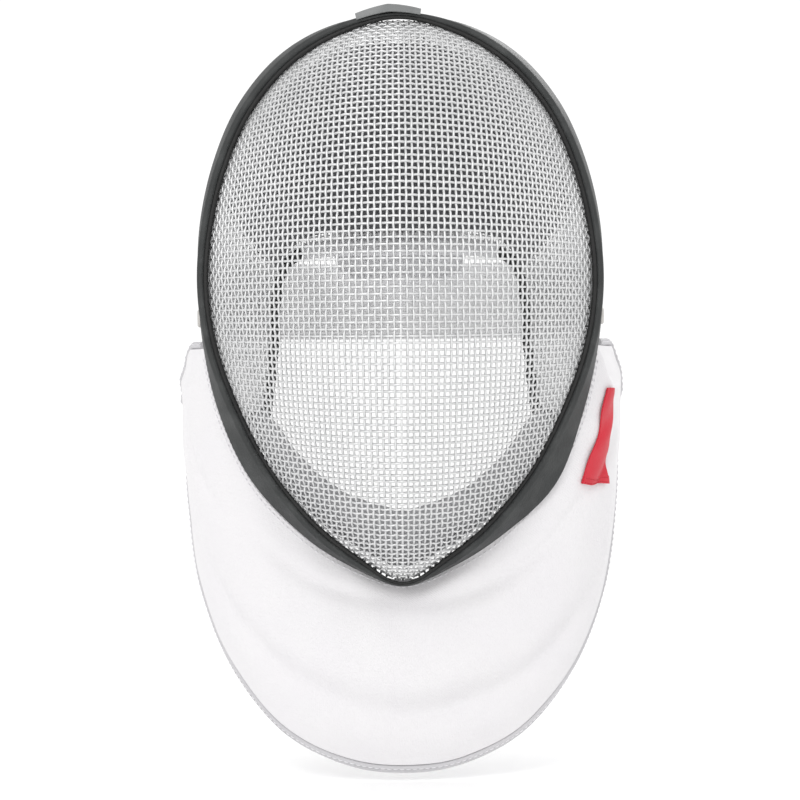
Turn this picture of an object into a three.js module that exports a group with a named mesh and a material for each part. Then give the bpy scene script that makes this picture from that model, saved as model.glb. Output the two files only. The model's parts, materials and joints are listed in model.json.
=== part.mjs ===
// Fencing mask: a creased wire face, a wire hood behind it, an edge band that joins the two,
// a lined crown, a chin pad, a hanging bib, a sprung tongue and an elastic back strap.
// Millimetres, +Z up, the face looks along -Y. The origin is where the crown of the head
// touches the inside of the lining.
import * as THREE from "three";

// ---------------------------------------------------------------- driving dimensions

const GAP = 0.35;                                   // air left between two pieces
const WIRE_CLOTH = 2;                               // two crossing 1 mm wires
const NOSE = { y: -172, z: -115 };                  // most forward point of the crease
const CREASE = { fullness: 0.97 };                  // 1 is a true ellipse, less is blunter
const FACE_ENDS = { top: 0.22, chin: 11.84 };       // band stations of its first and last row
const ACROSS = { straight: 0.37, curved: 0.63 };    // flat flank and cubic roll-back, sum 1
const BAND = { width: 16, thickness: 4, overlap: 2, clearance: 0.6 };
const BINDING = { width: 7, thickness: 4 };
const LINING = { thickness: 6, clearance: 0.9, lastRib: 4.5, front: 0.28, sideFront: 0.5, rear: 0.98 };
const HOOD_END = 8.3;                               // band station where the hood stops
const BIB = { thickness: 2.4, hemWidth: 4, hemThickness: 3.4, neckY: -20 };
const CHIN_PAD = { firstStation: 8.2, behind: 8 };
const STRAP = { height: 42, thickness: 1.6, middleZ: -125 };
const TONGUE = { thickness: 3, hollow: 4.4, clearance: 2.2 };
const SNAP = { radius: 4.6, crown: 3.45, height: 2.2, dome: 0.7, spacing: 24, fromEnd: 0.25 };
const TAB = { thickness: 1.6, from: -0.64, to: 0.34, ridge: 1.8, slack: 0.5 };
const LABEL = { thickness: 1, standOff: 0.5, perStation: 41, level: 0.45 };

// Centre line of the edge band, right half, from the top of the head to the chin.
// tilt turns the band's face to the front, in degrees.
const BAND_ROWS = [
  { x: 0, y: -96, z: 11.3, tilt: 0 },
  { x: 31, y: -95, z: 6, tilt: 8 },
  { x: 57, y: -93, z: -8.5, tilt: 14 },
  { x: 77.5, y: -90.5, z: -32, tilt: 14 },
  { x: 90.5, y: -88, z: -60, tilt: 11 },
  { x: 98, y: -86, z: -91, tilt: 7 },
  { x: 99.8, y: -85, z: -122, tilt: 1 },
  { x: 96.4, y: -84.5, z: -153, tilt: 8 },
  { x: 87, y: -84, z: -184.5, tilt: 22 },
  { x: 70, y: -84.5, z: -218, tilt: 28 },
  { x: 46, y: -86.5, z: -245.5, tilt: 17 },
  { x: 22, y: -88.5, z: -262, tilt: 7 },
  { x: 0, y: -89, z: -270.5, tilt: 0 },
];

// One rib of the hood for each band station: where it ends at the rear opening, how far it
// runs straight back first, and the handle that bends it into its end.
const HOOD_ROWS = [
  { x: 0, y: 90, z: -92, back: 92, out: 0, lift: 11, bendX: 0, bendY: 2, bendZ: 100 },
  { x: 20, y: 89.5, z: -92, back: 92, out: 2, lift: 10, bendX: 3, bendY: 0, bendZ: 99 },
  { x: 38, y: 87, z: -92.5, back: 90, out: 3, lift: 6, bendX: 10, bendY: -8, bendZ: 96 },
  { x: 54, y: 82, z: -95, back: 82, out: 3, lift: 2, bendX: 20, bendY: -28, bendZ: 84 },
  { x: 65, y: 77, z: -103, back: 70, out: 3, lift: 0, bendX: 30, bendY: -44, bendZ: 54 },
  { x: 70, y: 74.5, z: -118, back: 60, out: 3, lift: 0, bendX: 36, bendY: -46, bendZ: 20 },
  { x: 71.5, y: 73, z: -137, back: 56, out: 3, lift: 0, bendX: 36, bendY: -46, bendZ: 4 },
  { x: 72.5, y: 70, z: -156, back: 54, out: 3, lift: 0, bendX: 34, bendY: -46, bendZ: -4 },
  { x: 75, y: 60, z: -178, back: 52, out: 3, lift: 0, bendX: 28, bendY: -44, bendZ: -10 },
  { x: 78, y: 48, z: -192, back: 50, out: 3, lift: 0, bendX: 24, bendY: -42, bendZ: -12 },
];

// Lower edge of the bib, right half, from under the chin to the rear corner of the wing.
const HEM_ROWS = [
  { x: 0, y: -92, z: -361.5, bulge: 9 },
  { x: 30, y: -87, z: -357.5, bulge: 9 },
  { x: 61, y: -72, z: -342, bulge: 7 },
  { x: 88, y: -48, z: -310, bulge: 5.5 },
  { x: 104, y: -24, z: -271, bulge: 5 },
  { x: 110.5, y: -12, z: -225, bulge: 5 },
  { x: 112, y: -14, z: -184, bulge: 2.5 },
];
const WING_CORNER = { x: 108, y: -27, z: -153 };
const WING_LEAVES = 5;                              // past this row the top edge runs free

// Chin pad, from the cheek end to the middle of the chin.
const CHIN_ROWS = [
  { inset: 13, halfHeight: 6, halfDepth: 5 },
  { inset: 15, halfHeight: 8.5, halfDepth: 6 },
  { inset: 19, halfHeight: 12, halfDepth: 7 },
  { inset: 22, halfHeight: 15, halfDepth: 7 },
];

// Back strap seen from above, from its front end on the hood to the middle of the back.
const STRAP_ROWS = [
  { x: 99.8, y: -62 },
  { x: 101.8, y: -25 },
  { x: 100.8, y: 12 },
  { x: 92.8, y: 46 },
  { x: 73, y: 82 },
  { x: 40, y: 102 },
  { x: 0, y: 108 },
];

// Tongue seen from the side, from its root on the hood to its free end.
const TONGUE_ROWS = [
  { y: 86, z: -42, half: 33 },
  { y: 91.5, z: -60, half: 36 },
  { y: 94.3, z: -78, half: 38 },
  { y: 95, z: -96, half: 37 },
  { y: 93.5, z: -113, half: 33 },
];

// Side label, from its sewn top to its free end: place on the bib and half width.
const LABEL_ROWS = [
  { along: 4.85, down: 0.22, half: 2.5 },
  { along: 4.6, down: 0.245, half: 7 },
  { along: 4.33, down: 0.27, half: 5.5 },
  { along: 4.08, down: 0.31, half: 10 },
  { along: 3.83, down: 0.36, half: 13 },
];

const LAST_BAND = BAND_ROWS.length - 1;
const LAST_WING = HEM_ROWS.length - 1;
const STRAP_MIDDLE = STRAP_ROWS.length - 1;
const STRAP_END = 2 * STRAP_MIDDLE;

// ---------------------------------------------------------------- curves through tables

const vec = (x, y, z) => new THREE.Vector3(x, y, z);

// Value of one named column at a fractional row, by a Catmull-Rom curve. rowAt answers for
// rows before the first and after the last, so a mirrored table stays smooth at its middle.
function columnAt(rowAt, name, position) {
  const first = Math.floor(position);
  const t = position - first;
  const [a, b, c, d] = [-1, 0, 1, 2].map((step) => rowAt(first + step)[name]);
  const linear = (c - a) / 2;
  const square = a - 2.5 * b + 2 * c - 0.5 * d;
  const cube = (d - a) / 2 + 1.5 * (b - c);
  return b + t * (linear + t * (square + t * cube));
}

// A row seen in the mirror plane x = 0; a table without an x column stays as it is.
const reflected = (row) => ("x" in row ? { ...row, x: -row.x } : row);

// Rows reflected about the first one and carried on straight past the last one.
function mirroredAtStart(rows) {
  const last = rows.length - 1;
  return (index) => {
    if (index < 0) {
      return reflected(rows[-index]);
    }
    if (index <= last) {
      return rows[index];
    }
    const end = rows[last];
    const before = rows[last - 1];
    const row = {};
    for (const name of Object.keys(end)) {
      row[name] = 2 * end[name] - before[name];
    }
    return row;
  };
}

// Rows reflected about the first and the last one, for the closed edge band.
function mirroredAtBothEnds(rows) {
  const last = rows.length - 1;
  return (index) => {
    if (index < 0) {
      return reflected(rows[-index]);
    }
    if (index > last) {
      return reflected(rows[2 * last - index]);
    }
    return rows[index];
  };
}

// A function of a signed position that mirrors the right half of a table in the plane x = 0.
function symmetric(pointAt) {
  return (position, ...others) => {
    const point = pointAt(Math.abs(position), ...others);
    if (position < 0) {
      point.x = -point.x;
    }
    return point;
  };
}

const bandRow = mirroredAtBothEnds(BAND_ROWS);
const hoodRow = mirroredAtStart(HOOD_ROWS);
const chinRow = mirroredAtStart(CHIN_ROWS);

// Rows of the back strap, reflected about its middle and carried on straight past an end.
function strapRow(index) {
  if (index > STRAP_MIDDLE) {
    const row = strapRow(STRAP_END - index);
    return { x: -row.x, y: row.y };
  }
  if (index < 0) {
    const [end, next] = STRAP_ROWS;
    return { x: 2 * end.x - next.x, y: 2 * end.y - next.y };
  }
  return STRAP_ROWS[index];
}

// ---------------------------------------------------------------- the edge band's own frame

// Centre, outward direction and rearward direction of the band at a station of 0 to 12.
function bandFrame(station) {
  const at = (s) => vec(...["x", "y", "z"].map((name) => columnAt(bandRow, name, s)));
  const step = 0.01;
  const tangent = at(station + step).sub(at(station - step)).normalize();
  const tilt = THREE.MathUtils.degToRad(columnAt(bandRow, "tilt", station));
  const rearward = vec(0, 1, 0).addScaledVector(tangent, -tangent.y).normalize();
  const outward = tangent.clone().cross(rearward).normalize();
  const across = rearward.clone().multiplyScalar(Math.cos(tilt));
  across.addScaledVector(outward, Math.sin(tilt));
  const through = outward.clone().multiplyScalar(Math.cos(tilt));
  through.addScaledVector(rearward, -Math.sin(tilt));
  return { centre: at(station), outward, across, through };
}

// A point beside the band: rear is measured along its width, out through its thickness.
function besideBand(station, rear, out) {
  const frame = bandFrame(station);
  return frame.centre.addScaledVector(frame.across, rear).addScaledVector(frame.through, out);
}

const CLOTH_SINK = -(BAND.thickness / 2 + GAP + BAND.clearance + WIRE_CLOTH / 2);

// ---------------------------------------------------------------- surfaces

// Depth of the crease at a height: two quarter ellipses that meet at the nose.
function creaseDepth(z, edge) {
  const share = Math.min(Math.abs((z - NOSE.z) / (edge.z - NOSE.z)), 1);
  const bow = (v) => 1 - Math.sqrt(1 - (CREASE.fullness * v) ** 2);
  return NOSE.y + (edge.y - NOSE.y) * (bow(share) / bow(1));
}

const FACE_TOP = besideBand(0, -BAND.overlap, CLOTH_SINK);
const FACE_CHIN = besideBand(LAST_BAND, -BAND.overlap, CLOTH_SINK);

// Face of the mask: level rows from edge to edge, flat flanks beside the crease that roll
// back to the band. side runs from -1 at the left edge to 1 at the right edge.
function facePoint(station, side) {
  const edge = besideBand(station, -BAND.overlap, CLOTH_SINK);
  const crease = creaseDepth(edge.z, edge.z > NOSE.z ? FACE_TOP : FACE_CHIN);
  const q = Math.abs(side);
  const roll = ACROSS.straight * q + ACROSS.curved * q ** 3;
  return vec(side * edge.x, crease + (edge.y - crease) * roll, edge.z);
}

// Hood: a cubic Bezier rib for each band station, from the band to the rear opening.
const hoodPoint = symmetric((station, share) => {
  const start = besideBand(station, BAND.overlap, CLOTH_SINK);
  const value = (name) => columnAt(hoodRow, name, station);
  const end = vec(value("x"), value("y"), value("z"));
  const { outward } = bandFrame(station);
  const early = start.clone().addScaledVector(outward, value("out"));
  early.add(vec(0, value("back"), value("lift")));
  const late = end.clone().add(vec(value("bendX"), value("bendY"), value("bendZ")));
  return new THREE.CubicBezierCurve3(start, early, late, end).getPoint(share);
});

// Bib: straight fall from the band to the hem, bulged away from the neck. along runs from 0
// under the chin to 6 at the wing's rear edge.
const BIB_REAR = BAND.width / 2 + GAP + BIB.thickness / 2;
const hemRow = mirroredAtStart(HEM_ROWS);

function bibTop(along) {
  const sewn = besideBand(LAST_BAND - Math.min(along, WING_LEAVES), BIB_REAR, 0);
  const free = Math.max(along - WING_LEAVES, 0) / (LAST_WING - WING_LEAVES);
  return sewn.lerp(vec(WING_CORNER.x, WING_CORNER.y, WING_CORNER.z), free);
}

const bibPoint = symmetric((along, down) => {
  const value = (name) => columnAt(hemRow, name, along);
  const point = bibTop(along).lerp(vec(value("x"), value("y"), value("z")), down);
  const away = vec(point.x, point.y - BIB.neckY, 0).normalize();
  return point.addScaledVector(away, 4 * down * (1 - down) * value("bulge"));
});

// Unit normal of a surface of two parameters, by central differences.
function normalOf(surface, u, v, stepU, stepV) {
  const alongU = surface(u + stepU, v).sub(surface(u - stepU, v));
  const alongV = surface(u, v + stepV).sub(surface(u, v - stepV));
  return alongU.cross(alongV).normalize();
}

// ---------------------------------------------------------------- solids

const spread = (from, to, count) =>
  Array.from({ length: count + 1 }, (_, i) => from + ((to - from) * i) / count);

function solid(name, points, faces, material) {
  const geometry = new THREE.BufferGeometry().setFromPoints(points);
  geometry.setIndex(faces.flat());
  if (signedVolume(points, faces) < 0) {
    geometry.setIndex(faces.map(([a, b, c]) => [a, c, b]).flat());
  }
  geometry.computeVertexNormals();
  const mesh = new THREE.Mesh(geometry, material);
  mesh.name = name;
  return mesh;
}

function signedVolume(points, faces) {
  let sum = 0;
  for (const [a, b, c] of faces) {
    sum += points[a].dot(points[b].clone().cross(points[c]));
  }
  return sum / 6;
}

// A wall of even thickness about a grid of middle points, closed round its four edges.
function wall(name, grid, thickness, material) {
  const rows = grid.length;
  const columns = grid[0].length;
  const clampRow = (i) => grid[Math.min(Math.max(i, 0), rows - 1)];
  const at = (i, j) => clampRow(i)[Math.min(Math.max(j, 0), columns - 1)];
  const points = [];
  for (const side of [1, -1]) {
    for (let i = 0; i < rows; i += 1) {
      for (let j = 0; j < columns; j += 1) {
        const alongRow = at(i, j + 1).clone().sub(at(i, j - 1));
        const downRow = at(i + 1, j).clone().sub(at(i - 1, j));
        const normal = alongRow.cross(downRow).normalize();
        points.push(at(i, j).clone().addScaledVector(normal, (side * thickness) / 2));
      }
    }
  }
  const lastRow = rows - 1;
  const lastColumn = columns - 1;
  const front = (i, j) => i * columns + j;
  const back = (i, j) => rows * columns + i * columns + j;
  const faces = [];
  const quad = (a, b, c, d) => faces.push([a, b, c], [a, c, d]);
  for (let i = 0; i < lastRow; i += 1) {
    const n = i + 1;
    for (let j = 0; j < lastColumn; j += 1) {
      quad(front(i, j), front(i, j + 1), front(n, j + 1), front(n, j));
      quad(back(i, j), back(n, j), back(n, j + 1), back(i, j + 1));
    }
    quad(front(i, 0), front(n, 0), back(n, 0), back(i, 0));
    quad(front(n, lastColumn), front(i, lastColumn), back(i, lastColumn), back(n, lastColumn));
  }
  for (let j = 0; j < lastColumn; j += 1) {
    const k = j + 1;
    quad(front(0, k), front(0, j), back(0, j), back(0, k));
    quad(front(lastRow, j), front(lastRow, k), back(lastRow, k), back(lastRow, j));
  }
  return solid(name, points, faces, material);
}

// A bar through rings of points, either closed on itself or capped at both ends.
function bar(name, rings, closed, material) {
  const count = rings[0].length;
  const points = rings.flat();
  const faces = [];
  const spans = closed ? rings.length : rings.length - 1;
  for (let i = 0; i < spans; i += 1) {
    const next = ((i + 1) % rings.length) * count;
    for (let j = 0; j < count; j += 1) {
      const k = (j + 1) % count;
      faces.push([i * count + j, i * count + k, next + k]);
      faces.push([i * count + j, next + k, next + j]);
    }
  }
  if (!closed) {
    const last = (rings.length - 1) * count;
    for (let j = 1; j < count - 1; j += 1) {
      faces.push([0, j + 1, j]);
      faces.push([last, last + j, last + j + 1]);
    }
  }
  return solid(name, points, faces, material);
}

// Outline of a flat bar with round edges, as pairs of offsets (across, through).
function roundedSection(width, thickness, arcSteps) {
  const radius = thickness / 2;
  const reach = width / 2 - radius;
  const arc = (centre, start) =>
    spread(0, Math.PI, arcSteps).map((turn) => {
      const angle = start + turn;
      return [centre + radius * Math.cos(angle), radius * Math.sin(angle)];
    });
  return [...arc(reach, -Math.PI / 2), ...arc(-reach, Math.PI / 2)];
}

// Rings of a section carried along a path; frameAt gives centre, across and through.
const ringsAlong = (positions, frameAt, sectionAt) =>
  positions.map((position) => {
    const { centre, across, through } = frameAt(position);
    return sectionAt(position).map(([a, t]) =>
      centre.clone().addScaledVector(across, a).addScaledVector(through, t));
  });

// ---------------------------------------------------------------- materials

const finish = (color, roughness, metalness) =>
  new THREE.MeshStandardMaterial({ color, roughness, metalness });

const MATERIALS = {
  steelWire: finish("#c9cbca", 0.35, 0.9),
  blackBand: finish("#3c3e3d", 0.55, 0),
  darkLining: finish("#2e3032", 0.95, 0),
  whiteCloth: finish("#f2f0f1", 0.9, 0),
  greyHem: finish("#d5d3d5", 0.9, 0),
  whiteElastic: finish("#eceaea", 0.85, 0),
  snapMetal: finish("#9a9a98", 0.3, 1),
  greyTab: finish("#a9abaa", 0.6, 0),
  redRibbon: finish("#d03040", 0.7, 0),
};

// ---------------------------------------------------------------- pieces

function makeFace() {
  const stations = spread(FACE_ENDS.top, FACE_ENDS.chin, 30);
  const sides = spread(-1, 1, 16);
  const grid = stations.map((station) => sides.map((side) => facePoint(station, side)));
  return wall("face_mesh", grid, WIRE_CLOTH, MATERIALS.steelWire);
}

const HOOD_STATIONS = spread(-HOOD_END, HOOD_END, 34);
const HOOD_SHARES = spread(0, 1, 10);

function makeHood() {
  const grid = HOOD_STATIONS.map((station) =>
    HOOD_SHARES.map((share) => hoodPoint(station, share)));
  return wall("hood_mesh", grid, WIRE_CLOTH, MATERIALS.steelWire);
}

function makeEdgeBand() {
  const halfTurn = spread(0, LAST_BAND, 30);
  const section = roundedSection(BAND.width, BAND.thickness, 4);
  const mirror = ({ centre, across, through }) => {
    const flip = (v) => vec(-v.x, v.y, v.z);
    return { centre: flip(centre), across: flip(across), through: flip(through) };
  };
  const right = ringsAlong(halfTurn, bandFrame, () => section);
  const left = ringsAlong(halfTurn.slice(1, -1), (s) => mirror(bandFrame(s)), () => section);
  return bar("edge_band", [...right, ...left.reverse()], true, MATERIALS.blackBand);
}

// Rings of a binding laid round the edge of a surface. Each stop of the route names a place
// (u, v) and, as -1, 0 or 1, the side on which the surface ends there (endU, endV).
function bindingRings(surface, route, width, section) {
  const beyond = GAP + width / 2;
  const small = 0.01;
  const places = route.map(({ u, v, endU, endV }) => {
    const here = surface(u, v);
    const alongU = endU === 0
      ? surface(u + small, v).sub(surface(u - small, v))
      : surface(u, v).sub(surface(u - endU * small, v)).multiplyScalar(endU);
    const alongV = endV === 0
      ? surface(u, v + small).sub(surface(u, v - small))
      : surface(u, v).sub(surface(u, v - endV * small)).multiplyScalar(endV);
    const squareTo = (direction, edge) =>
      direction.clone().addScaledVector(edge, -direction.dot(edge) / edge.lengthSq()).normalize();
    const reach = squareTo(alongU, alongV).multiplyScalar(endU);
    reach.addScaledVector(squareTo(alongV, alongU), endV);
    const sides = Math.abs(endU) + Math.abs(endV);
    const centre = here.addScaledVector(reach, (beyond * sides) / reach.lengthSq());
    return { centre, normal: alongU.cross(alongV).normalize() };
  });
  const frameAt = (index) => {
    const before = places[Math.max(index - 1, 0)].centre;
    const after = places[Math.min(index + 1, places.length - 1)].centre;
    const tangent = after.clone().sub(before).normalize();
    const { centre, normal } = places[index];
    const across = normal.clone().cross(tangent).normalize();
    const through = tangent.clone().cross(across).normalize();
    return { centre, across, through };
  };
  return ringsAlong(places.map((_, index) => index), frameAt, () => section);
}

const stop = (u, v, endU, endV) => ({ u, v, endU, endV });

function makeHoodBinding() {
  const shares = HOOD_SHARES.slice(1, -1);
  const lower = (side) => shares.map((share) => stop(side * HOOD_END, share, side, 0));
  const route = [
    ...lower(-1),
    stop(-HOOD_END, 1, -1, 1),
    ...HOOD_STATIONS.slice(1, -1).map((station) => stop(station, 1, 0, 1)),
    stop(HOOD_END, 1, 1, 1),
    ...lower(1).reverse(),
  ];
  const section = roundedSection(BINDING.width, BINDING.thickness, 2);
  const rings = bindingRings(hoodPoint, route, BINDING.width, section);
  return bar("hood_binding", rings, false, MATERIALS.blackBand);
}

const HEAD_CENTRE = vec(0, 0, -90);

// The lining lies inside the hood. Its front edge runs further back at the sides than on top.
function makeLining() {
  const depth = -(WIRE_CLOTH / 2 + GAP + LINING.clearance + LINING.thickness / 2);
  const stations = spread(-LINING.lastRib, LINING.lastRib, 14);
  const grid = stations.map((station) => {
    const aside = (station / LINING.lastRib) ** 2;
    const front = THREE.MathUtils.lerp(LINING.front, LINING.sideFront, aside);
    return spread(front, LINING.rear, 8).map((share) => {
      const normal = normalOf(hoodPoint, station, share, 0.01, 0.005);
      const inwards = Math.sign(normal.dot(hoodPoint(station, share).sub(HEAD_CENTRE)));
      return hoodPoint(station, share).addScaledVector(normal, depth * inwards);
    });
  });
  return wall("crown_lining", grid, LINING.thickness, MATERIALS.darkLining);
}

const BIB_STATIONS = spread(-LAST_WING, LAST_WING, 36);
const BIB_SHARES = spread(0, 1, 8);

function makeBib() {
  const grid = BIB_STATIONS.map((along) => BIB_SHARES.map((down) => bibPoint(along, down)));
  return wall("bib", grid, BIB.thickness, MATERIALS.whiteCloth);
}

// The bib's hem: both free top edges, both rear edges of the wings and the lower edge.
function makeBibHem() {
  const free = BIB_STATIONS.filter((along) => along > WING_LEAVES && along < LAST_WING);
  const top = (side) => free.map((along) => stop(side * along, 0, 0, -1));
  const rear = (side) =>
    BIB_SHARES.slice(1, -1).map((down) => stop(side * LAST_WING, down, side, 0));
  const route = [
    ...top(-1),
    stop(-LAST_WING, 0, -1, -1),
    ...rear(-1),
    stop(-LAST_WING, 1, -1, 1),
    ...BIB_STATIONS.slice(1, -1).map((along) => stop(along, 1, 0, 1)),
    stop(LAST_WING, 1, 1, 1),
    ...rear(1).reverse(),
    stop(LAST_WING, 0, 1, -1),
    ...top(1).reverse(),
  ];
  const section = roundedSection(BIB.hemWidth, BIB.hemThickness, 2);
  const rings = bindingRings(bibPoint, route, BIB.hemWidth, section);
  return bar("bib_hem", rings, false, MATERIALS.greyHem);
}

function makeChinPad() {
  const sectionAt = (station) => {
    const row = (Math.abs(station) - CHIN_PAD.firstStation) / (LAST_BAND - CHIN_PAD.firstStation);
    const value = (name) => columnAt(chinRow, name, row * (CHIN_ROWS.length - 1));
    return { inset: value("inset"), halfHeight: value("halfHeight"), halfDepth: value("halfDepth") };
  };
  const right = spread(CHIN_PAD.firstStation, LAST_BAND, 11);
  const ringAt = (station, side) => {
    const { centre, outward } = bandFrame(station);
    const { inset, halfHeight, halfDepth } = sectionAt(station);
    centre.addScaledVector(outward, -inset).add(vec(0, CHIN_PAD.behind, 0));
    return spread(0, 2 * Math.PI, 10).slice(0, -1).map((angle) => {
      const point = centre.clone().addScaledVector(outward, halfHeight * Math.cos(angle));
      point.y += halfDepth * Math.sin(angle);
      return vec(side * point.x, point.y, point.z);
    });
  };
  const rings = [
    ...right.map((station) => ringAt(station, 1)),
    ...right.slice(0, -1).reverse().map((station) => ringAt(station, -1)),
  ];
  return bar("chin_pad", rings, false, MATERIALS.whiteCloth);
}

// Place and outward direction on the back strap; position 0 is its right end, 6 the middle
// of the back, 12 its left end.
function strapFrame(position) {
  const at = (p) => vec(columnAt(strapRow, "x", p), columnAt(strapRow, "y", p), STRAP.middleZ);
  const tangent = at(position + 0.01).sub(at(position - 0.01)).normalize();
  const up = vec(0, 0, 1);
  return { centre: at(position), across: up, through: tangent.clone().cross(up).normalize() };
}

function makeStrap() {
  const section = roundedSection(STRAP.height, STRAP.thickness, 2);
  const rings = ringsAlong(spread(0, STRAP_END, 40), strapFrame, () => section);
  return bar("back_strap", rings, false, MATERIALS.whiteElastic);
}

function makeSnap(name, position, rise) {
  const profile = [
    [0, 0],
    [SNAP.radius, 0],
    [SNAP.radius, SNAP.height - SNAP.dome],
    [SNAP.crown, SNAP.height],
    [0, SNAP.height],
  ].map(([radius, height]) => new THREE.Vector2(radius, height));
  const mesh = new THREE.Mesh(new THREE.LatheGeometry(profile, 12), MATERIALS.snapMetal);
  const { centre, through } = strapFrame(position);
  mesh.name = name;
  mesh.quaternion.setFromUnitVectors(vec(0, 1, 0), through);
  mesh.position.copy(centre).addScaledVector(through, STRAP.thickness / 2 + GAP);
  mesh.position.z += rise;
  return mesh;
}

function makeSnaps() {
  const group = new THREE.Group();
  for (const [side, position] of [["right", SNAP.fromEnd], ["left", STRAP_END - SNAP.fromEnd]]) {
    for (const [level, sign] of [["upper", 1], ["lower", -1]]) {
      group.add(makeSnap(`snap_${side}_${level}`, position, (sign * SNAP.spacing) / 2));
    }
  }
  return group;
}

// Tongue: a bent strip, hollowed to the back of the head and hung behind the hood.
function makeTongue() {
  const sides = spread(-1, 1, 6);
  const steps = spread(0, TONGUE_ROWS.length - 1, 10);
  const rowAt = mirroredAtStart(TONGUE_ROWS);
  const grid = steps.map((step) =>
    sides.map((side) => {
      const value = (name) => columnAt(rowAt, name, step);
      const depth = value("y") + TONGUE.clearance - TONGUE.hollow * side ** 2;
      return vec(side * value("half"), depth, value("z"));
    }));
  return wall("tongue", grid, TONGUE.thickness, MATERIALS.whiteCloth);
}

// Tab folded over the band at the top: round its front edge, then back across it, with a
// ridge in the middle of its length.
function makeTopTab() {
  const lift = BAND.thickness / 2 + GAP + TAB.thickness / 2 + TAB.slack;
  const frontEdge = -BAND.width / 2 - GAP - TAB.thickness / 2 - TAB.slack;
  const fold = [
    [frontEdge, BAND.thickness / 4],
    [frontEdge + TAB.thickness, lift],
    [0, lift],
    [BAND.width / 2, lift],
  ];
  const lengths = spread(0, 1, 8);
  const grid = lengths.map((share) =>
    fold.map(([rear, out]) => {
      const ridge = TAB.ridge * (1 - Math.abs(2 * share - 1));
      const station = THREE.MathUtils.lerp(TAB.from, TAB.to, share);
      const point = besideBand(Math.abs(station), rear, out + ridge);
      return vec(Math.sign(station) * Math.abs(point.x), point.y, point.z);
    }));
  return wall("top_tab", grid, TAB.thickness, MATERIALS.greyTab);
}

function makeSideLabel() {
  const rowAt = mirroredAtStart(LABEL_ROWS);
  const away = BIB.thickness / 2 + GAP + LABEL.standOff + LABEL.thickness / 2;
  const steps = spread(0, LABEL_ROWS.length - 1, 8);
  const grid = steps.map((step) =>
    spread(-1, 1, 4).map((side) => {
      const value = (name) => columnAt(rowAt, name, step);
      const shift = (side * value("half")) / LABEL.perStation;
      const along = value("along") + shift;
      const down = value("down") + LABEL.level * shift;
      const normal = normalOf(bibPoint, along, down, 0.02, 0.01);
      const outwards = Math.sign(normal.x);
      return bibPoint(along, down).addScaledVector(normal, away * outwards);
    }));
  return wall("side_label", grid, LABEL.thickness, MATERIALS.redRibbon);
}

const parts = new THREE.Group();
parts.add(makeFace(), makeHood(), makeEdgeBand(), makeHoodBinding(), makeLining());
parts.add(makeChinPad(), makeBib(), makeBibHem(), makeSideLabel());
parts.add(makeStrap(), makeSnaps(), makeTongue(), makeTopTab());

export default parts;
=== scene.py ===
# %% [markdown]
# # A fencing mask
# A fencing mask is a face of woven steel wire, creased down the middle, joined by a dark band to a
# wire hood that goes round the crown and the cheeks. Cloth hangs below the chin, soft pads sit
# inside, and a sprung tongue and an elastic strap hold it on the head.
# The measured frame comes first. It fixes the size and the place of every piece, so whatever is
# modelled here goes exactly where the frame says.

# %% Load the fixed frame
import json
import math

import bpy
import numpy as np
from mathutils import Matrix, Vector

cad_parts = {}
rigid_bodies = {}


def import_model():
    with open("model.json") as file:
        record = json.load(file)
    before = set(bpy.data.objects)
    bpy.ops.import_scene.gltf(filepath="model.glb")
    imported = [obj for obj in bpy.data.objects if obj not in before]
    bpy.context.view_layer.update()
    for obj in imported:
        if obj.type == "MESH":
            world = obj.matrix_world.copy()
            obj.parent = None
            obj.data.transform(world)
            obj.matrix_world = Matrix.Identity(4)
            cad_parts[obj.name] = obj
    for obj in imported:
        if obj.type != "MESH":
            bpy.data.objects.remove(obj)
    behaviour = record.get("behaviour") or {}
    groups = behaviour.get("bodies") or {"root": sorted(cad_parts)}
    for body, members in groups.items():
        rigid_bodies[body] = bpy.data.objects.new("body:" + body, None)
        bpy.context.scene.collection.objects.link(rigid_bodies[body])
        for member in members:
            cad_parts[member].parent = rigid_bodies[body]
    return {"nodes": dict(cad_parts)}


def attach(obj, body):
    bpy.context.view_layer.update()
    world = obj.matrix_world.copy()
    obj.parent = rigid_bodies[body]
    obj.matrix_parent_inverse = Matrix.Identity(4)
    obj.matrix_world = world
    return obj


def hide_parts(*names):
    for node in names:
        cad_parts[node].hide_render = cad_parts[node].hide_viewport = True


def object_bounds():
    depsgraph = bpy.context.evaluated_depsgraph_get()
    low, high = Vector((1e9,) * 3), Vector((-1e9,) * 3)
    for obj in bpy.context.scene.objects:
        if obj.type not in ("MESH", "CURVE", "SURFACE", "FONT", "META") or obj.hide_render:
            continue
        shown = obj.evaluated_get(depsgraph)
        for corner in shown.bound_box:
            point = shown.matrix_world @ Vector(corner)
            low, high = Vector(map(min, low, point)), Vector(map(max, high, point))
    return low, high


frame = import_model()
CAD_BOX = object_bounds()
MM = 0.001
print("frame:", len(frame["nodes"]), "nodes, box", [round(v, 3) for c in CAD_BOX for v in c])

# %% [markdown]
# ## The measured curves
# Every piece of the mask follows a few curves: the edge band round the face, the ribs of the hood,
# the hem of the bib. Each curve is a short table with one list for each column, in millimetres, and
# the rows run over the right half only, because the mask is the same on both sides. A curve could
# be drawn by hand as a Bezier object. A table is easier to keep true to the frame, and numpy can
# read it at ten thousand places at once.

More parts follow.
